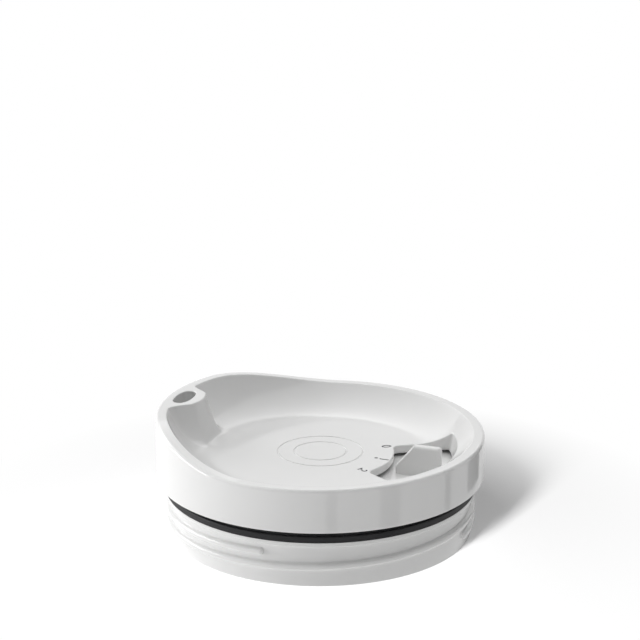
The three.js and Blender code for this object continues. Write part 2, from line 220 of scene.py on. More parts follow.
class LidSizes(bpy.types.PropertyGroup):
    """Sizes that a user would change on the lid's looks."""

    ring_steps: bpy.props.IntProperty(
        name="Steps round the lid", description="Edges in each ring of the lid",
        default=288, min=48, max=512)
    slot_edge: bpy.props.FloatProperty(
        name="Slot edge", description="Rounding of the arc slot's upper edge",
        default=0.4 * MM, min=0.0, unit="LENGTH")
    mouth_edge: bpy.props.FloatProperty(
        name="Mouth edge", description="Rounding of the spout mouth's edge",
        default=0.35 * MM, min=0.0, unit="LENGTH")
    lever_edge: bpy.props.FloatProperty(
        name="Lever edge", description="Rounding of the thumb lever's edges",
        default=0.9 * MM, min=0.0, unit="LENGTH")
    mark_height: bpy.props.FloatProperty(
        name="Mark height", description="Height of the numbers beside the slot",
        default=3.0 * MM, min=0.001, unit="LENGTH")
    mark_depth: bpy.props.FloatProperty(
        name="Mark depth", description="Depth of the numbers and rings in the dish",
        default=0.3 * MM, min=0.0, unit="LENGTH")


class LidFinishes(bpy.types.PropertyGroup):
    """Colours and gloss of the lid's plastics and silicone."""

    white: bpy.props.FloatVectorProperty(
        name="White", description="Colour of the moulded lid",
        subtype="COLOR", size=3, min=0, max=1, default=(0.86, 0.86, 0.855))
    white_roughness: bpy.props.FloatProperty(
        name="White roughness", description="Roughness of the moulded lid",
        subtype="FACTOR", default=0.1, min=0, max=1)
    inner_white: bpy.props.FloatVectorProperty(
        name="Selector white", description="Colour of the selector and its cap",
        subtype="COLOR", size=3, min=0, max=1, default=(0.84, 0.84, 0.835))
    silicone: bpy.props.FloatVectorProperty(
        name="Silicone", description="Colour of the seals",
        subtype="COLOR", size=3, min=0, max=1, default=(0.011, 0.011, 0.012))
    silicone_roughness: bpy.props.FloatProperty(
        name="Silicone roughness", description="Roughness of the seals",
        subtype="FACTOR", default=0.5, min=0, max=1)
    # Grey of the numbers and dot cut into the dish floor: painted shade for the inside of these
    # shallow recesses
    mark: bpy.props.FloatVectorProperty(
        name="Marks", description="Colour of the etched marks",
        subtype="COLOR", size=3, min=0, max=1, default=(0.36, 0.36, 0.37))


def smoothstep(value, low, high):
    t = min(max((value - low) / (high - low), 0.0), 1.0)
    return t * t * (3 - 2 * t)


def mix(a, b, share):
    return a + (b - a) * share


def arc(centre, radius, start, end, steps):
    """Points of a round corner in a section, with its angles in degrees."""
    turns = [math.radians(mix(start, end, i / steps)) for i in range(steps + 1)]
    return [(centre[0] + radius * math.cos(t), centre[1] + radius * math.sin(t)) for t in turns]


def polar(radius, angle, height):
    return Vector((radius * math.cos(angle), radius * math.sin(angle), height)) * MM


def from_spout(angle):
    turn = abs(math.degrees(angle) - SPOUT_ANGLE) % 360
    return min(turn, 360 - turn)


def rim_height(angle):
    return HIGH_RIM - BAND_RISE * smoothstep(from_spout(angle), RISE_TO, RISE_FROM)


def boss_share(angle):
    """How far the boss stands out from the dish wall: a crowned nose with hollow sides."""
    turn = from_spout(angle)
    crown = 1 - BOSS_CROWN * (turn / BOSS_FULL_ANGLE) ** 2
    return crown * (1 - smoothstep(turn, BOSS_FULL_ANGLE, BOSS_END_ANGLE))


def dish_height(radius, rim):
    share = (radius - DISH_FLOOR_RADIUS) / (RIM_INNER - DISH_FLOOR_RADIUS)
    t = min(max(share, 0.0), 1.0)
    return DISH_FLOOR + DISH_DEPTH * t ** DISH_POWER + (rim - LOW_RIM) * t ** RISE_POWER


def height_in_wall(radius, rim, depth):
    """Height at a depth below the dish wall, measured square to its slope."""
    step = 0.1
    slope = (dish_height(radius, rim) - dish_height(radius - step, rim)) / step
    return dish_height(radius, rim) - depth * math.hypot(1, slope)


def line_in_wall(to_radius, rim, depth, steps):
    radii = [mix(DISH_FLOOR_RADIUS, to_radius, i / steps) for i in range(steps + 1)]
    return [(radius, height_in_wall(radius, rim, depth)) for radius in radii]


def boss_line(rim, steps):
    """Section down the middle of the spout's boss, from the rim to the flat floor."""
    bend = []
    foot = (BOSS_FOOT_RADIUS + 0.1 * BOSS_FOOT_FILLET, DISH_FLOOR + BOSS_FOOT_FILLET)
    for i in range(9):
        t = i / 8
        corner = (BOSS_FOOT_RADIUS, DISH_FLOOR)
        end = (BOSS_FOOT_RADIUS - BOSS_FOOT_FILLET, DISH_FLOOR)
        bend.append(tuple(
            (1 - t) ** 2 * foot[k] + 2 * t * (1 - t) * corner[k] + t * t * end[k] for k in (0, 1)))
    return spaced([(BOSS_TOP_RADIUS, rim), *bend, (DISH_FLOOR_RADIUS, DISH_FLOOR)], steps)


def spaced(path, steps):
    """The path's points again, the same distance apart."""
    lengths = [0.0]
    for a, b in zip(path, path[1:]):
        lengths.append(lengths[-1] + math.dist(a, b))
    result = []
    leg = 0
    for i in range(steps + 1):
        want = lengths[-1] * i / steps
        while leg < len(path) - 2 and lengths[leg + 1] < want:
            leg += 1
        share = (want - lengths[leg]) / (lengths[leg + 1] - lengths[leg])
        result.append(tuple(mix(path[leg][k], path[leg + 1][k], share) for k in (0, 1)))
    return result


def dish_wall(angle, steps):
    """The dish wall from the rim down to the flat floor, plain and over the spout's boss, with
    the rim's inner edge rounded into it."""
    rim = rim_height(angle)
    share = boss_share(angle)
    wall = []
    for i, (boss_radius, boss_height) in enumerate(boss_line(rim, steps)):
        radius = mix(RIM_INNER, DISH_FLOOR_RADIUS, i / steps)
        height = dish_height(radius, rim)
        wall.append((mix(radius, boss_radius, share), mix(height, boss_height, share)))
    corner, below = wall[:2]
    slope = math.atan2(corner[1] - below[1], corner[0] - below[0])
    centre = (
        corner[0] + RIM_INNER_FILLET * math.tan(slope / 2), rim - RIM_INNER_FILLET)
    return arc(centre, RIM_INNER_FILLET, 90, 90 + math.degrees(slope), 6) + wall[1:]


def rim_outer_edge(angle):
    rim = rim_height(angle)
    return arc(
        (BAND_RADIUS - RIM_OUTER_FILLET, rim - RIM_OUTER_FILLET), RIM_OUTER_FILLET, 0, 90, 8)


def lid_section(angle):
    """Half section of the lid, from the pivot post round the skirt and band to the dish."""
    bead = POST_BEAD
    fillet = FLANGE_FILLET
    return [
        (POST_RADIUS - bead, POST_BOTTOM),
        (POST_RADIUS, POST_BOTTOM + bead),
        (POST_RADIUS + bead, POST_BOTTOM + 2 * bead),
        (POST_RADIUS, POST_BOTTOM + 3 * bead),
        *arc((POST_RADIUS + 1, FLOOR_UNDERSIDE - 1), 1, 180, 90, 4),
        *line_in_wall(SKIRT_INNER, rim_height(angle), FLOOR_THICKNESS, 8),
        *arc((SKIRT_INNER + SKIRT_EDGE, SKIRT_EDGE), SKIRT_EDGE, 180, 270, 4),
        *arc((THREAD_ROOT - SKIRT_EDGE, SKIRT_EDGE), SKIRT_EDGE, 270, 360, 4),
        *arc((THREAD_ROOT + fillet, SKIRT_HEIGHT - fillet), fillet, 180, 90, 4),
        *arc((FLANGE_RADIUS - fillet, SKIRT_HEIGHT + fillet), fillet, 270, 360, 4),
        (FLANGE_RADIUS, GROOVE_FLOOR),
        (GROOVE_RADIUS, GROOVE_FLOOR),
        (GROOVE_RADIUS, SEAT_HEIGHT + GROOVE_POCKET),
        (GASKET_NECK + RUNNING_GAP, SEAT_HEIGHT + GROOVE_POCKET),
        (GASKET_NECK + RUNNING_GAP, SEAT_HEIGHT),
        *arc((BAND_RADIUS - BAND_EDGE, SEAT_HEIGHT + BAND_EDGE), BAND_EDGE, 270, 360, 5),
        *rim_outer_edge(angle),
        *dish_wall(angle, 26),
    ]


def select_only(piece):
    bpy.ops.object.select_all(action="DESELECT")
    piece.select_set(True)
    bpy.context.view_layer.objects.active = piece


def loft(name, rings, closed=False, caps=True):
    """Extrudes a ring of edges through the given rings and puts each corner in its place."""
    bpy.ops.object.select_all(action="DESELECT")
    bpy.ops.mesh.primitive_circle_add(vertices=len(rings[0]), radius=MM)
    piece = bpy.context.active_object
    piece.name = name
    bpy.ops.object.mode_set(mode="EDIT")
    bpy.ops.mesh.select_all(action="SELECT")
    mesh = bmesh.from_edit_mesh(piece.data)
    mesh.verts.ensure_lookup_table()
    order = {v: k for k, v in enumerate(mesh.verts)}
    for v, k in order.items():
        v.co = rings[0][k]
    if caps and not closed:
        bpy.ops.mesh.edge_face_add()
        bpy.ops.mesh.select_all(action="DESELECT")
        for v in order:
            v.select = True
        mesh.select_flush(True)
        for face in mesh.faces:
            face.select = False
        for edge in mesh.edges:
            edge.select = True
    for ring in rings[1:]:
        bpy.ops.mesh.extrude_edges_move()
        mesh = bmesh.from_edit_mesh(piece.data)
        moved = {}
        for v in mesh.verts:
            if v.select:
                before = next(e.other_vert(v) for e in v.link_edges if not e.other_vert(v).select)
                moved[v] = order[before]
        for v, k in moved.items():
            v.co = ring[k]
        order = moved
    if caps and not closed:
        bpy.ops.mesh.edge_face_add()
    bpy.ops.mesh.select_all(action="SELECT")
    if closed:
        bpy.ops.mesh.remove_doubles(threshold=1e-6)
    bpy.ops.mesh.normals_make_consistent(inside=False)
    bpy.ops.object.mode_set(mode="OBJECT")
    return piece


def even_angles(steps):
    return [2 * math.pi * i / steps for i in range(steps)]


def lid_angles(steps):
    """Angles round the lid, three times as close together over the spout."""
    around = [i * 360 / steps for i in range(steps)]
    angles = []
    for angle in around:
        close = from_spout(math.radians(angle)) < SPOUT_SPAN
        angles += [angle + i * 120 / steps for i in range(3)] if close else [angle]
    return [math.radians(angle) for angle in angles]


def turned(name, section_at, angles, closed=False, caps=True):
    """A body turned about the lid's axis, whose section may change with the angle."""
    sections = [section_at(angle) for angle in angles]
    rings = [
        [polar(section[k][0], angle, section[k][1]) for section, angle in zip(sections, angles)]
        for k in range(len(sections[0]))
    ]
    if closed:
        rings.append(rings[0])
    return loft(name, rings, closed, caps)


def join(pieces):
    select_only(pieces[0])
    for piece in pieces:
        piece.select_set(True)
    bpy.ops.object.join()
    return bpy.context.active_object


def boolean(piece, tool, operation):
    """Cuts or joins a piece with another, which is then removed."""
    select_only(piece)
    bpy.ops.object.modifier_add(type="BOOLEAN")
    modifier = piece.modifiers[-1]
    modifier.operation = operation
    modifier.solver = "EXACT"
    modifier.object = tool
    bpy.ops.object.modifier_apply(modifier=modifier.name)
    bpy.data.objects.remove(tool)


def smooth(piece):
    """Smooth shading that keeps the sharp edges, with flat faces left flat."""
    select_only(piece)
    bpy.ops.object.shade_smooth_by_angle(angle=SMOOTH_ANGLE)
    bpy.ops.object.modifier_add(type="WEIGHTED_NORMAL")
    modifier = piece.modifiers[-1]
    modifier.keep_sharp = True
    modifier.weight = SMOOTH_WEIGHT
    bpy.ops.object.modifier_apply(modifier=modifier.name)


def slot_outline(offset, height_at, lean=0):
    """Ring of points round the arc slot, widened by an offset, each at its own height."""
    inner = SLOT_INNER_RADIUS - offset
    outer = SLOT_OUTER_RADIUS + offset + lean
    corner = SLOT_CORNER + offset
    outer_corner = SLOT_OUTER_CORNER + offset

    def side(radius):
        return SLOT_HALF_ANGLE + math.asin(offset / radius)

    def bend(radius, direction, corner):
        near = radius + direction * corner
        points = []
        for i in range(1, 10):
            t = i / 10
            along = (radius, side(radius) - corner / radius)
            end = (near, side(near))
            points.append((
                (1 - t) ** 2 * along[0] + 2 * t * (1 - t) * radius + t * t * end[0],
                (1 - t) ** 2 * along[1] + 2 * t * (1 - t) * side(radius) + t * t * end[1],
            ))
        return points

    inner_end = side(inner) - corner / inner
    outer_end = side(outer) - outer_corner / outer
    half = [(inner, inner_end * i / 20) for i in range(21)]
    half += bend(inner, 1, corner)
    low, high = inner + corner, outer - outer_corner
    half += [(mix(low, high, i / 14), side(mix(low, high, i / 14))) for i in range(15)]
    half += bend(outer, -1, outer_corner)[::-1]
    half += [(outer, outer_end * (1 - i / 24)) for i in range(25)]
    whole = half + [(radius, -angle) for radius, angle in half[-2:0:-1]]
    return [polar(radius, angle, height_at(radius, angle)) for radius, angle in whole]


def lens_outline(radius, half_width, half_length, height, steps=72):
    """Ring of points round the spout's lens shape, centred at a radius on the spout's side."""
    turn_to_spout = Matrix.Rotation(math.radians(SPOUT_ANGLE), 3, "Z")
    ring = []
    for i in range(steps):
        turn = 2 * math.pi * i / steps
        across, along = (
            math.copysign(abs(value) ** (2 / LENS_POWER), value)
            for value in (math.cos(turn), math.sin(turn)))
        point = Vector((radius + half_width * across, half_length * along, height))
        ring.append(turn_to_spout @ point * MM)
    return ring


def throat_outline(offset, height):
    return lens_outline(
        THROAT_RADIUS, THROAT_HALF_WIDTH + offset, THROAT_HALF_LENGTH + offset, height)


def flare(edge):
    """Steps of an edge's rounding: how far out and how far below the surface, then across it."""
    steps = [(edge * (1 - math.cos(t)), edge * (math.sin(t) - 1))
             for t in (math.radians(12 * i) for i in range(7))]
    out, down = steps[-1]
    steps.append((out + FLARE_REACH, down + FLARE_REACH * FLARE_SLOPE))
    return steps


def slot_cutter(edge):
    def dish(lift):
        return lambda radius, angle: dish_height(radius, rim_height(angle)) + lift

    def flat(height):
        return lambda radius, angle: height

    lean = SLOT_OUTER_LEAN
    rings = [
        slot_outline(SLOT_RECESS, flat(SELECTOR_TOP)),
        slot_outline(SLOT_RECESS, flat(FLOOR_UNDERSIDE)),
        slot_outline(0, flat(FLOOR_UNDERSIDE)),
    ]
    rings += [slot_outline(out, dish(lift), lean) for out, lift in flare(edge)]
    rings.append(slot_outline(1, flat(HIGH_RIM), lean))
    return loft("slot_cutter", rings)


def passage_ring(height, out=0):
    """The passage's section at a height: its inner wall leans like the boss, and its outer
    wall drops from the mouth and then slopes in to the throat."""
    t = min(max((height - LIP_BOTTOM) / (HIGH_RIM - LIP_BOTTOM), 0), 1)
    rise = height - LIP_BOTTOM - CHAMBER_FOOT_RISE
    drop = min(max(rise / (CHAMBER_FLOOR_RISE - CHAMBER_FOOT_RISE), 0), 1)
    inner = mix(THROAT_RADIUS - THROAT_HALF_WIDTH, MOUTH_RADIUS - MOUTH_HALF_WIDTH, t)
    outer = mix(THROAT_RADIUS + THROAT_HALF_WIDTH, MOUTH_RADIUS + MOUTH_HALF_WIDTH, drop)
    half_length = mix(THROAT_HALF_LENGTH, MOUTH_HALF_LENGTH, t)
    return lens_outline(
        (inner + outer) / 2, (outer - inner) / 2 + out, half_length + out, height)


def passage_cutter(edge):
    foot, floor = LIP_BOTTOM + CHAMBER_FOOT_RISE, LIP_BOTTOM + CHAMBER_FLOOR_RISE
    heights = [LIP_BOTTOM - 1, LIP_BOTTOM, foot]
    heights += [mix(foot, floor, i / 4) for i in range(1, 5)]
    heights += [mix(floor, HIGH_RIM - edge, i / 5) for i in range(1, 5)]
    rings = [passage_ring(height) for height in heights]
    rings += [passage_ring(HIGH_RIM + lift, out) for out, lift in flare(edge)]
    rings.append(passage_ring(HIGH_RIM + 2, 1))
    return loft("passage_cutter", rings)


def seal_band(name, outline_at, inner, outer, bottom, top):
    """A closed band of rectangular section that follows an outline."""
    rings = [
        outline_at(inner, bottom),
        outline_at(inner, top),
        outline_at(outer, top),
        outline_at(outer, bottom),
    ]
    return loft(name, [*rings, rings[0]], closed=True)


def slot_outline_flat(offset, height):
    return slot_outline(offset, lambda radius, angle: height)


def outline_block(name, outline_at, reach, bottom):
    return loft(name, [outline_at(reach, bottom), outline_at(reach, HIGH_RIM)])


def below_mid_wall():
    """All that lies below the middle of the dish wall, which trims what is added under it."""
    depth = FLOOR_THICKNESS / 2
    return turned(
        "trim",
        lambda angle: [
            (DISH_FLOOR_RADIUS, SELECTOR_TOP),
            (RIM_INNER, SELECTOR_TOP),
            *line_in_wall(RIM_INNER, rim_height(angle), depth, 12)[::-1],
        ],
        even_angles(180))


def thread_ridge(start):
    """One ridge of the thread: its feet run out in fillets, and both ends are blunt."""
    upper = ((-across, out) for across, out in THREAD_HALF_SECTION[-2::-1])
    section = [*THREAD_HALF_SECTION, *upper]
    near = [THREAD_TAPER * (1 - math.cos(math.pi / 2 * i / 8)) for i in range(9)]
    even = [THREAD_TURN * i / THREAD_STEPS for i in range(THREAD_STEPS + 1)]
    middle = [along for along in even if THREAD_TAPER < along < THREAD_TURN - THREAD_TAPER]
    far = [THREAD_TURN - along for along in near[::-1]]
    rings = []
    for along in [*near, *middle, *far]:
        to_end = min(min(along, THREAD_TURN - along) / THREAD_TAPER, 1.0)
        size = mix(THREAD_END_SIZE, 1.0, math.sqrt(1 - (1 - to_end) ** 2))
        climb = THREAD_FIRST_HEIGHT + along * THREAD_LEAD / 360
        angle = math.radians(start + along)
        rings.append([
            polar(THREAD_ROOT + (out * size if out > 0 else out), angle, climb + across * size)
            for across, out in section])
    return loft("thread_ridge", rings)


def number_cutter(text, size, depth):
    """A number as a solid that cuts into the dish floor beside the slot."""
    bpy.ops.object.select_all(action="DESELECT")
    bpy.ops.object.text_add()
    piece = bpy.context.active_object
    piece.data.body = text
    piece.data.size = size / DIGIT_SHARE
    piece.data.align_x = "CENTER"
    piece.data.align_y = "CENTER"
    piece.data.extrude = depth
    piece.data.offset = MARK_BOLDNESS * MM
    piece.data.resolution_u = 6
    bpy.ops.object.convert(target="MESH")
    angle = math.radians(MARK_ANGLES[text])
    place = Matrix.Translation(polar(MARK_RADIUS, angle, DISH_FLOOR))
    piece.data.transform(place @ Matrix.Rotation(angle - math.pi / 2, 4, "Z"))
    select_only(piece)
    bpy.ops.object.mode_set(mode="EDIT")
    bpy.ops.mesh.select_all(action="SELECT")
    bpy.ops.mesh.remove_doubles(threshold=1e-6)
    bpy.ops.mesh.normals_make_consistent(inside=False)
    bpy.ops.object.mode_set(mode="OBJECT")
    return piece


def dot_cutter(depth):
    """The dot beside the middle number, as a tapered plug."""
    middle = polar(DOT_RADIUS, 0, DISH_FLOOR)
    rings = [
        [middle + polar(radius, angle, share * depth / MM) for angle in even_angles(32)]
        for radius, share in DOT_SECTION
    ]
    return loft("dot_cutter", rings)


def ring_cutter(radius, depth):
    """A plain ring in the dish floor, with a rounded bottom."""
    inner, outer = radius - RING_HALF_WIDTH, radius + RING_HALF_WIDTH
    section = [(inner, 0.2), (inner, -0.3), (radius, -1.0), (outer, -0.3), (outer, 0.2)]
    return turned(
        "ring_cutter",
        lambda angle: [(r, DISH_FLOOR + share * depth / MM) for r, share in section],
        even_angles(144), closed=True)


def shader(name):
    """A new node material and its tree, which holds just the output and a Principled shader."""
    material = bpy.data.materials.new(name)
    material.use_nodes = True
    tree = material.node_tree
    return material, tree, tree.nodes["Principled BSDF"]


def add_node(tree, kind, location, **values):
    node = tree.nodes.new(kind)
    node.location = location
    for socket, value in values.items():
        node.inputs[socket.replace("_", " ")].default_value = value
    return node


def ramp_between(tree, factor, low, high, location):
    """Maps a pattern's 0 to 1 onto a narrow range."""
    node = tree.nodes.new("ShaderNodeMapRange")
    node.location = location
    node.inputs["To Min"].default_value = low
    node.inputs["To Max"].default_value = high
    tree.links.new(factor, node.inputs["Value"])
    return node.outputs["Result"]


def noise(tree, row, scale, detail):
    """A noise pattern that keeps to the object, in a row of its own in the node editor."""
    place = add_node(tree, "ShaderNodeTexCoord", (-1200, -300 * row))
    pattern = add_node(
        tree, "ShaderNodeTexNoise", (-950, -300 * row), Scale=scale, Detail=detail)
    tree.links.new(place.outputs["Object"], pattern.inputs["Vector"])
    return pattern.outputs["Fac"]


def vary_colour(tree, surface, pattern, colour, low, high):
    """Lets a pattern move the colour between two multiples of itself."""
    tint = add_node(tree, "ShaderNodeMix", (-450, 300))
    tint.data_type = "RGBA"
    for end, share in (("A", low), ("B", high)):
        tint.inputs[end].default_value = (*(min(1.0, share * value) for value in colour), 1)
    tree.links.new(pattern, tint.inputs["Factor"])
    tree.links.new(tint.outputs["Result"], surface.inputs["Base Color"])


def vary_roughness(tree, surface, pattern, low, high):
    """Lets a pattern move the roughness between two values."""
    tree.links.new(
        ramp_between(tree, pattern, low, high, (-450, 0)), surface.inputs["Roughness"])


def add_grain(tree, surface, pattern, strength, distance):
    """Turns a pattern into a fine relief."""
    bump = add_node(
        tree, "ShaderNodeBump", (-250, -300), Strength=strength, Distance=distance)
    tree.links.new(pattern, bump.inputs["Height"])
    tree.links.new(bump.outputs["Normal"], surface.inputs["Normal"])


def moulded_plastic(name, colour, roughness):
    """Glossy moulded plastic: faint cloudiness in the colour, uneven gloss and a fine skin."""
    material, tree, surface = shader(name)
    surface.inputs["IOR"].default_value = 1.49
    vary_colour(tree, surface, noise(tree, 0, 55, 3), colour, 0.975, 1.02)
    vary_roughness(tree, surface, noise(tree, 1, 420, 4), roughness - 0.04, roughness + 0.05)
    add_grain(tree, surface, noise(tree, 2, 2600, 2), 0.035, 0.0002)
    return material


def silicone_rubber(name, colour, roughness):
    """Matte silicone with a soft, slightly dusty surface."""
    material, tree, surface = shader(name)
    surface.inputs["IOR"].default_value = 1.43
    surface.inputs["Specular IOR Level"].default_value = 0.35
    dust = noise(tree, 0, 300, 4)
    vary_colour(tree, surface, dust, colour, 1.0, 1.5)
    vary_roughness(tree, surface, dust, roughness - 0.05, roughness + 0.1)
    add_grain(tree, surface, noise(tree, 1, 3500, 2), 0.1, 0.0001)
    return material


def painted_mark_shade(name, colour):
    """Speckled grey for the numbers and dot cut into the dish floor: painted shade that darkens
    these shallow recesses.
    """
    material, tree, surface = shader(name)
    surface.inputs["Roughness"].default_value = 0.6
    vary_colour(tree, surface, noise(tree, 0, 4000, 2), colour, 0.85, 1.15)
    return material


def finish_piece(piece, node, body, material):
    """Names the piece for its CAD node, puts it on its body and gives it its finish."""
    if material.name not in piece.data.materials:
        piece.data.materials.clear()
        piece.data.materials.append(material)
    piece.name = node + "_shell"
    piece.data.name = piece.name
    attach(piece, body)
    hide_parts(node)


class LID_OT_lid_body(bpy.types.Operator):
    """Adds the moulded lid with its dish, spout, slot and threaded skirt"""

    bl_idname = "lid.lid_body"
    bl_label = "Lid body"

    def execute(self, context):
        sizes = context.scene.lid_sizes
        finishes = context.scene.lid_finishes
        white = moulded_plastic("white_plastic", finishes.white, finishes.white_roughness)
        mark = painted_mark_shade("painted_mark_shade", finishes.mark)
        body = turned("lid_body_shell", lid_section, lid_angles(sizes.ring_steps))
        body.data.materials.append(white)
        slot_block = outline_block(
            "slot_block", slot_outline_flat, SLOT_LIP_INSET + SEAL_REACH + CHANNEL_WALL,
            SELECTOR_TOP + SLOT_LIP_FOOT)
        spout_block = outline_block(
            "spout_block", throat_outline, SEAL_REACH + CHANNEL_WALL, LIP_BOTTOM)
        boolean(slot_block, below_mid_wall(), "INTERSECT")
        boolean(spout_block, below_mid_wall(), "INTERSECT")
        ridges = [thread_ridge(THREAD_FIRST_START + 360 * i / THREAD_STARTS)
                  for i in range(THREAD_STARTS)]
        boolean(body, join([slot_block, spout_block, *ridges]), "UNION")
        slot_channel = seal_band(
            "slot_channel", slot_outline_flat,
            SLOT_LIP_INSET + SEAL_LIP + SLOT_LIP_EXTRA, SLOT_LIP_INSET + SEAL_REACH,
            SELECTOR_TOP, FLOOR_UNDERSIDE)
        spout_channel = seal_band(
            "spout_channel", throat_outline, SEAL_LIP, SEAL_REACH,
            LIP_BOTTOM - 1, FLOOR_UNDERSIDE)
        cutters = [
            slot_cutter(sizes.slot_edge / MM),
            passage_cutter(sizes.mouth_edge / MM),
            slot_channel,
            spout_channel,
            *(ring_cutter(radius, sizes.mark_depth) for radius in RING_RADII),
        ]
        boolean(body, join(cutters), "DIFFERENCE")
        marks = [number_cutter(text, sizes.mark_height, sizes.mark_depth)
                 for text in MARK_ANGLES]
        marks.append(dot_cutter(sizes.mark_depth))
        # The numbers and the dot give their grey to the faces they cut: painted shade inside these
        # recesses
        for piece in marks:
            piece.data.materials.append(mark)
        body.data.materials.append(mark)
        boolean(body, join(marks), "DIFFERENCE")
        smooth(body)
        finish_piece(body, "lid_body", LID_BODY, white)
        return {"FINISHED"}


class LID_OT_gasket(bpy.types.Operator):
    """Adds the black sealing ring under the band"""

    bl_idname = "lid.gasket"
    bl_label = "Sealing ring"

    def execute(self, context):
        finishes = context.scene.lid_finishes
        silicone = silicone_rubber(
            "black_silicone", finishes.silicone, finishes.silicone_roughness)
        inner = GROOVE_RADIUS + RUNNING_GAP
        lip_top = GROOVE_FLOOR + GASKET_LIP
        top = SEAT_HEIGHT + GROOVE_POCKET - RUNNING_GAP
        edge, fillet, corner = GASKET_EDGE, GASKET_FILLET, GASKET_CORNER
        section = [
            (inner, GROOVE_FLOOR),
            *arc((FLANGE_RADIUS - corner, GROOVE_FLOOR + corner), corner, 270, 360, 4),
            *arc((FLANGE_RADIUS - edge, lip_top - edge), edge, 0, 90, 6),
            *arc((GASKET_NECK + fillet, lip_top + fillet), fillet, 270, 180, 4),
            *arc((GASKET_NECK - corner, top - corner), corner, 0, 90, 4),
            (inner, top),
        ]
        ring = turned(
            "lid_gasket_shell", lambda angle: section,
            even_angles(context.scene.lid_sizes.ring_steps), closed=True)
        smooth(ring)
        finish_piece(ring, "lid_gasket", LID_BODY, silicone)
        return {"FINISHED"}


class LID_OT_seals(bpy.types.Operator):
    """Adds the seal round the slot and the seal under the spout"""

    bl_idname = "lid.seals"
    bl_label = "Slot and spout seals"

    def execute(self, context):
        silicone = bpy.data.materials["black_silicone"]
        bottom = SELECTOR_TOP + RUNNING_GAP
        top = FLOOR_UNDERSIDE - RUNNING_GAP
        kinds = (
            ("slot_seal", slot_outline_flat, SLOT_LIP_INSET + SEAL_LIP + RUNNING_GAP),
            ("spout_seal", throat_outline, SEAL_LIP + RUNNING_GAP),
        )
        for node, outline_at, inner in kinds:
            band = seal_band(node + "_shell", outline_at, inner, inner + SEAL_WIDTH, bottom, top)
            select_only(band)
            bpy.ops.object.modifier_add(type="BEVEL")
            modifier = band.modifiers[-1]
            modifier.width = SEAL_EDGE * MM
            modifier.segments = 2
            bpy.ops.object.modifier_apply(modifier=modifier.name)
            smooth(band)
            finish_piece(band, node, LID_BODY, silicone)
        return {"FINISHED"}


def lever_plate(edge):
    """The thumb lever: a plate with a sloped thumb edge, a round outer end and soft edges."""
    foot = SELECTOR_TOP - SELECTOR_THICKNESS / 2
    top = SELECTOR_HIGH.z
    knee = SELECTOR_TOP + LEVER_KNEE_HEIGHT
    half = LEVER_THICKNESS / 2
    outer = LEVER_OUTER - LEVER_SETBACK
    bend = LEVER_INNER + LEVER_SLOPE_RUN

    def height(x):
        """Top of the plate: up the slope, along the top and down round the outer corner."""
        if x < bend:
            return knee + (top - knee) * (x - LEVER_INNER) / LEVER_SLOPE_RUN
        over = max(x - (outer - LEVER_CORNER), 0)
        return top - LEVER_CORNER + math.sqrt(max(LEVER_CORNER ** 2 - over ** 2, 0.01))

    inner_end = [math.radians(9 * i) for i in range(1, 11)]
    outer_end = [math.radians(90 - 7 * i) for i in range(13)]
    stations = [
        (LEVER_INNER + LEVER_INNER_ROUND * (1 - math.cos(t)),
         half - LEVER_INNER_ROUND * (1 - math.sin(t))) for t in inner_end]
    stations += [(bend - LEVER_BEND, half), (bend, half), (bend + LEVER_BEND, half)]
    stations += [(outer - half + half * math.cos(t), half * math.sin(t)) for t in outer_end]
    rings = []
    for x, wide in stations:
        crown = height(x) - (LEVER_BEND_DROP if x == bend else 0)
        soft = min(edge, 0.8 * wide)
        side = arc((wide - soft, crown - soft), soft, 0, 90, 5)
        section = [(wide, foot), *side, *((-y, z) for y, z in side[::-1]), (-wide, foot)]
        rings.append([Vector((x, y, z)) * MM for y, z in section])
    return loft("lever_plate", rings)


class LID_OT_selector(bpy.types.Operator):
    """Adds the turning selector with its ports and thumb lever"""

    bl_idname = "lid.selector"
    bl_label = "Selector"

    def execute(self, context):
        sizes = context.scene.lid_sizes
        finishes = context.scene.lid_finishes
        plastic = moulded_plastic(
            "selector_plastic", finishes.inner_white, finishes.white_roughness + 0.05)
        bore = POST_RADIUS + RUNNING_GAP
        rim_bottom = SELECTOR_UNDERSIDE - SELECTOR_RIM_DEPTH
        edge = SELECTOR_EDGE
        section = [
            (bore, HUB_BOTTOM),
            (HUB_RADIUS - edge, HUB_BOTTOM),
            (HUB_RADIUS, HUB_BOTTOM + edge),
            *arc((HUB_RADIUS + edge, SELECTOR_UNDERSIDE - edge), edge, 180, 90, 3),
            (SELECTOR_RADIUS - SELECTOR_RIM_WIDTH, SELECTOR_UNDERSIDE),
            (SELECTOR_RADIUS - SELECTOR_RIM_WIDTH, rim_bottom),
            *arc((SELECTOR_RADIUS - edge, rim_bottom + edge), edge, 270, 360, 4),
            *arc((SELECTOR_RADIUS - edge, SELECTOR_TOP - edge), edge, 0, 90, 4),
            (bore, SELECTOR_TOP),
        ]
        disc = turned(
            "selector_shell", lambda angle: section, even_angles(sizes.ring_steps), closed=True)
        low = rim_bottom - 1
        high = SELECTOR_TOP + 1
        sip = loft("sip_cutter", [
            lens_outline(THROAT_RADIUS, SIP_HALF_WIDTH, SIP_HALF_LENGTH, height)
            for height in (low, high)])
        straw = loft("straw_cutter", [throat_outline(0, height) for height in (low, high)])
        straw.data.transform(Matrix.Rotation(math.radians(SWING), 4, "Z"))
        boolean(disc, join([sip, straw]), "DIFFERENCE")
        boolean(disc, lever_plate(sizes.lever_edge / MM), "UNION")
        smooth(disc)
        finish_piece(disc, "selector", SELECTOR_BODY, plastic)
        return {"FINISHED"}


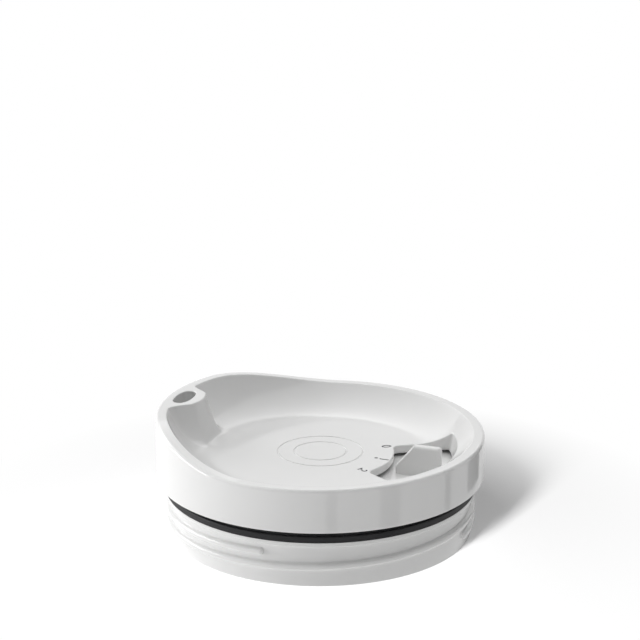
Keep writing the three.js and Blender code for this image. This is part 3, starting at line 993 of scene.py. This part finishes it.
class LID_OT_hub_cap(bpy.types.Operator):
    """Adds the cap that holds the selector on its post"""

    bl_idname = "lid.hub_cap"
    bl_label = "Hub cap"

    def execute(self, context):
        bore = POST_RADIUS + RUNNING_GAP
        outer = bore + CAP_WALL
        bottom = CAP_LOW.z
        flange_bottom = CAP_TOP - CAP_FLANGE
        bead = POST_BEAD
        foot, low, high = CAP_FOOT_EDGE, CAP_LOW_EDGE, CAP_TOP_EDGE
        section = [
            (outer - CAP_FOOT, bottom),
            *arc((outer - foot, bottom + foot), foot, 270, 360, 5),
            (outer, flange_bottom),
            *arc((CAP_RADIUS - low, flange_bottom + low), low, 270, 360, 4),
            *arc((CAP_RADIUS - high, CAP_TOP - high), high, 0, 90, 3),
            (bore, CAP_TOP),
            (bore, POST_BOTTOM + 3.5 * bead),
            (bore + bead, POST_BOTTOM + 2.5 * bead),
            (bore + bead, POST_BOTTOM + 1.5 * bead),
            (bore, POST_BOTTOM + 0.5 * bead),
            (bore, POST_BOTTOM - RUNNING_GAP),
        ]
        cap = turned("hub_cap_shell", lambda angle: section, even_angles(128))
        smooth(cap)
        plastic = bpy.data.materials["selector_plastic"]
        finish_piece(cap, "hub_cap", LID_BODY, plastic)
        return {"FINISHED"}


# Camera and studio, set out as the photograph has them: X to its right, Y away from it
PHOTO_TURN = 20.7
CAMERA_PLACE = Vector((0.04, -524.3, 218.9)) * MM
CAMERA_TILT = 90 - 16.28
CAMERA_ROLL = -0.258
CAMERA_LENS = 102.59
LAMPS = (
    ("left_softbox", (-0.9, 0.0, 0.065), (0.5, 0.12), 3.8),
    ("top_softbox", (-0.12, 0.3, 0.95), (2.0, 2.0), 13.2),
    ("back_softbox", (-0.66, 0.42, 0.36), (0.3, 0.3), 1.7),
)
FLOOR_LAMP = ("floor_key", (-0.375, -0.805, 0.49), (0.14, 0.4), 22.6)
AMBIENT = 0.15

# The floor: its grey for bounced light and as seen, and how its white takes over with distance
FLOOR_BOUNCE = 0.58
FLOOR_SEEN = 0.8
WHITE_FROM = 0.058
WHITE_TO = 0.122
WHITE_NEAR = 0.25

# Dark cards that only reflections see: degrees round to the right from the camera's side
FLAG_RADIUS = 84
FLAG_HEIGHT = 60
FLAGS = ((5, 5), (34, 11), (71, 5), (101, 19))


def in_part_frame(place):
    return Matrix.Rotation(math.radians(PHOTO_TURN), 3, "Z") @ Vector(place)


def seen_directly(tree):
    """1 for the camera and in reflections, 0 for the light that the floor and sky give."""
    path = tree.nodes.new("ShaderNodeLightPath")
    total = path.outputs["Is Camera Ray"]
    for kind in ("Is Glossy Ray", "Is Transmission Ray"):
        add = tree.nodes.new("ShaderNodeMath")
        add.operation = "MAXIMUM"
        tree.links.new(total, add.inputs[0])
        tree.links.new(path.outputs[kind], add.inputs[1])
        total = add.outputs["Value"]
    return total


def studio_floor():
    """A pale floor that keeps the object's shadow and runs out into pure white."""
    material, tree, surface = shader("studio_floor")
    surface.inputs["Roughness"].default_value = 1.0
    surface.inputs["Specular IOR Level"].default_value = 0.0
    seen = seen_directly(tree)
    tree.links.new(
        ramp_between(tree, seen, FLOOR_BOUNCE, FLOOR_SEEN, (-400, 0)),
        surface.inputs["Base Color"])
    glow = tree.nodes.new("ShaderNodeEmission")
    glow.inputs["Color"].default_value = (1, 1, 1, 1)
    place = tree.nodes.new("ShaderNodeTexCoord")
    distance = tree.nodes.new("ShaderNodeVectorMath")
    distance.operation = "LENGTH"
    tree.links.new(place.outputs["Object"], distance.inputs[0])
    fade = add_node(
        tree, "ShaderNodeMapRange", (-600, -400),
        From_Min=WHITE_FROM, From_Max=WHITE_TO, To_Min=WHITE_NEAR)
    tree.links.new(distance.outputs["Value"], fade.inputs["Value"])
    share = tree.nodes.new("ShaderNodeMath")
    share.operation = "MULTIPLY"
    tree.links.new(seen, share.inputs[0])
    tree.links.new(fade.outputs["Result"], share.inputs[1])
    blend = tree.nodes.new("ShaderNodeMixShader")
    tree.links.new(share.outputs["Value"], blend.inputs["Fac"])
    tree.links.new(surface.outputs["BSDF"], blend.inputs[1])
    tree.links.new(glow.outputs["Emission"], blend.inputs[2])
    tree.links.new(blend.outputs["Shader"], tree.nodes["Material Output"].inputs["Surface"])
    return material


def studio_flag(turn, width):
    """A dark upright card beside the lid, whose reflection shapes the gloss of the band."""
    place = Matrix.Rotation(math.radians(PHOTO_TURN + turn - 90), 4, "Z")
    place @= Matrix.Translation(Vector((FLAG_RADIUS, 0, FLAG_HEIGHT / 2)) * MM)
    place @= Matrix.Rotation(math.radians(-90), 4, "Y")
    bpy.ops.object.select_all(action="DESELECT")
    bpy.ops.mesh.primitive_plane_add(size=MM)
    card = bpy.context.active_object
    card.name = f"studio_flag_{turn}"
    across = 2 * FLAG_RADIUS * math.tan(math.radians(width / 2))
    card.data.transform(place @ Matrix.Diagonal((FLAG_HEIGHT, across, 1, 1)))
    card.visible_camera = False
    card.visible_diffuse = False
    card.visible_transmission = False
    card.visible_shadow = False
    return card


def studio_world():
    """White behind the object and in its gloss, and a softer even light from all round."""
    world = bpy.data.worlds.new("studio")
    world.use_nodes = True
    tree = world.node_tree
    ambient = tree.nodes["Background"]
    ambient.inputs["Color"].default_value = (1, 1, 1, 1)
    ambient.inputs["Strength"].default_value = AMBIENT
    white = tree.nodes.new("ShaderNodeBackground")
    white.inputs["Color"].default_value = (1, 1, 1, 1)
    white.inputs["Strength"].default_value = 1.0
    choose = tree.nodes.new("ShaderNodeMixShader")
    tree.links.new(seen_directly(tree), choose.inputs["Fac"])
    tree.links.new(ambient.outputs["Background"], choose.inputs[1])
    tree.links.new(white.outputs["Background"], choose.inputs[2])
    tree.links.new(choose.outputs["Shader"], tree.nodes["World Output"].inputs["Surface"])
    return world


def softbox(name, place, size, power):
    """A rectangular area lamp that faces the lid."""
    spot = in_part_frame(place)
    bpy.ops.object.light_add(type="AREA", location=spot)
    lamp = bpy.context.active_object
    lamp.name = name
    lamp.data.shape = "RECTANGLE"
    lamp.data.size, lamp.data.size_y = size
    lamp.data.energy = power
    lamp.rotation_euler = (-spot).to_track_quat("-Z", "Y").to_euler()
    return lamp


class LID_OT_stage(bpy.types.Operator):
    """Adds the floor, lamps, world and camera"""

    bl_idname = "lid.stage"
    bl_label = "Stage"

    def execute(self, context):
        scene = context.scene
        bpy.ops.object.select_all(action="DESELECT")
        bpy.ops.mesh.primitive_plane_add(size=8)
        floor = context.active_object
        floor.name = "studio_floor"
        floor.data.materials.append(studio_floor())
        black, _, surface = shader("studio_black")
        surface.inputs["Base Color"].default_value = (0.02, 0.02, 0.02, 1)
        surface.inputs["Roughness"].default_value = 1.0
        for turn, width in FLAGS:
            card = studio_flag(turn, width)
            card.data.materials.append(black)
        scene.world = studio_world()
        floor_only, all_but_floor = (
            bpy.data.collections.new(name) for name in ("floor_only", "all_but_floor"))
        for receivers in (floor_only, all_but_floor):
            receivers.objects.link(floor)
        all_but_floor.collection_objects[0].light_linking.link_state = "EXCLUDE"
        for settings in LAMPS:
            softbox(*settings).light_linking.receiver_collection = all_but_floor
        softbox(*FLOOR_LAMP).light_linking.receiver_collection = floor_only
        bpy.ops.object.camera_add(location=in_part_frame(CAMERA_PLACE))
        camera = context.active_object
        aim = Euler((math.radians(CAMERA_TILT), 0, math.radians(PHOTO_TURN))).to_quaternion()
        camera.rotation_mode = "QUATERNION"
        camera.rotation_quaternion = aim @ Quaternion((0, 0, 1), math.radians(CAMERA_ROLL))
        camera.data.lens = CAMERA_LENS
        camera.data.sensor_width = 36
        camera.data.clip_start = 0.01
        camera.data.clip_end = 50
        scene.camera = camera
        scene.view_settings.view_transform = "Standard"
        return {"FINISHED"}


OPERATORS = (
    LID_OT_lid_body,
    LID_OT_gasket,
    LID_OT_seals,
    LID_OT_selector,
    LID_OT_hub_cap,
    LID_OT_stage,
)


class LID_PT_panel(bpy.types.Panel):
    """Lists the lid's pieces, sizes and finishes."""

    bl_label = "Tumbler lid"
    bl_idname = "LID_PT_panel"
    bl_space_type = "VIEW_3D"
    bl_region_type = "UI"
    bl_category = "Lid"

    def draw(self, context):
        for operator in OPERATORS:
            self.layout.operator(operator.bl_idname)
        for group in (context.scene.lid_sizes, context.scene.lid_finishes):
            box = self.layout.box()
            for name in group.__annotations__:
                box.prop(group, name)


CLASSES = (LidSizes, LidFinishes, *OPERATORS, LID_PT_panel)


def register():
    for cls in CLASSES:
        bpy.utils.register_class(cls)
    bpy.types.Scene.lid_sizes = bpy.props.PointerProperty(type=LidSizes)
    bpy.types.Scene.lid_finishes = bpy.props.PointerProperty(type=LidFinishes)


def unregister():
    del bpy.types.Scene.lid_finishes
    del bpy.types.Scene.lid_sizes
    for cls in reversed(CLASSES):
        bpy.utils.unregister_class(cls)


def main():
    register()
    bpy.ops.lid.lid_body()
    bpy.ops.lid.gasket()
    bpy.ops.lid.seals()
    bpy.ops.lid.selector()
    bpy.ops.lid.hub_cap()
    bpy.ops.lid.stage()


if __name__ == "__main__":
    main()
